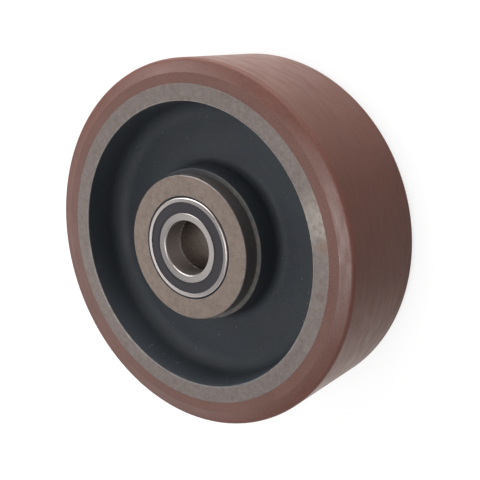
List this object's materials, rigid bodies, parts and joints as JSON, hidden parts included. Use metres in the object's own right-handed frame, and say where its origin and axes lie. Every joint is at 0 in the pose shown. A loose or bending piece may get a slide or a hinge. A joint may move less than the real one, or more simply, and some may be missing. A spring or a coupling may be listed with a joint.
{
  "type": "polyurethane wheel",
  "caption": "Industrial wheel with a polyurethane tread on a cast iron core, turning on sealed ball bearings with a spacer tube between them.",
  "frame": {"origin": "centre of the wheel, on its axis, halfway between its two faces", "axes": "+Z along the axle bore towards the front face, which is the one in the picture; +Y is up in the picture"},
  "size_m": [0.2, 0.2, 0.068],
  "materials": {
    "polyurethane": "satin",
    "painted_cast_iron": "satin",
    "bearing_steel": "satin",
    "steel_tube": "satin",
    "seal_rubber": "matte",
    "cage_plastic": "satin"
  },
  "bodies": {
    "wheel": {"wheel_core": "painted_cast_iron", "tread": "polyurethane", "front_outer_ring": "bearing_steel", "front_outer_seal": "seal_rubber", "front_inner_seal": "seal_rubber", "rear_outer_ring": "bearing_steel", "rear_outer_seal": "seal_rubber", "rear_inner_seal": "seal_rubber"},
    "axle_sleeve": {"front_inner_ring": "bearing_steel", "spacer_tube": "steel_tube", "rear_inner_ring": "bearing_steel"},
    "front_ball_set": {"front_cage": "cage_plastic", "front_ball_1": "bearing_steel", "front_ball_2": "bearing_steel", "front_ball_3": "bearing_steel", "front_ball_4": "bearing_steel", "front_ball_5": "bearing_steel", "front_ball_6": "bearing_steel", "front_ball_7": "bearing_steel", "front_ball_8": "bearing_steel", "front_ball_9": "bearing_steel", "front_ball_10": "bearing_steel", "front_ball_11": "bearing_steel"},
    "rear_ball_set": {"rear_cage": "cage_plastic", "rear_ball_1": "bearing_steel", "rear_ball_2": "bearing_steel", "rear_ball_3": "bearing_steel", "rear_ball_4": "bearing_steel", "rear_ball_5": "bearing_steel", "rear_ball_6": "bearing_steel", "rear_ball_7": "bearing_steel", "rear_ball_8": "bearing_steel", "rear_ball_9": "bearing_steel", "rear_ball_10": "bearing_steel", "rear_ball_11": "bearing_steel"}
  },
  "joints": [
    {"name": "axle_spin", "type": "hinge", "parent": "wheel", "child": "axle_sleeve", "pos_m": [0, 0, 0], "axis": [0, 0, 1], "continuous": true},
    {"name": "front_ball_orbit", "type": "hinge", "parent": "wheel", "child": "front_ball_set", "pos_m": [0, 0, 0.0275], "axis": [0, 0, 1], "continuous": true},
    {"name": "rear_ball_orbit", "type": "hinge", "parent": "wheel", "child": "rear_ball_set", "pos_m": [0, 0, -0.0275], "axis": [0, 0, 1], "continuous": true}
  ],
  "couplings": [
    {"joint": "front_ball_orbit", "follows": "axle_spin", "ratio": 0.41595},
    {"joint": "rear_ball_orbit", "follows": "axle_spin", "ratio": 0.41595}
  ]
}
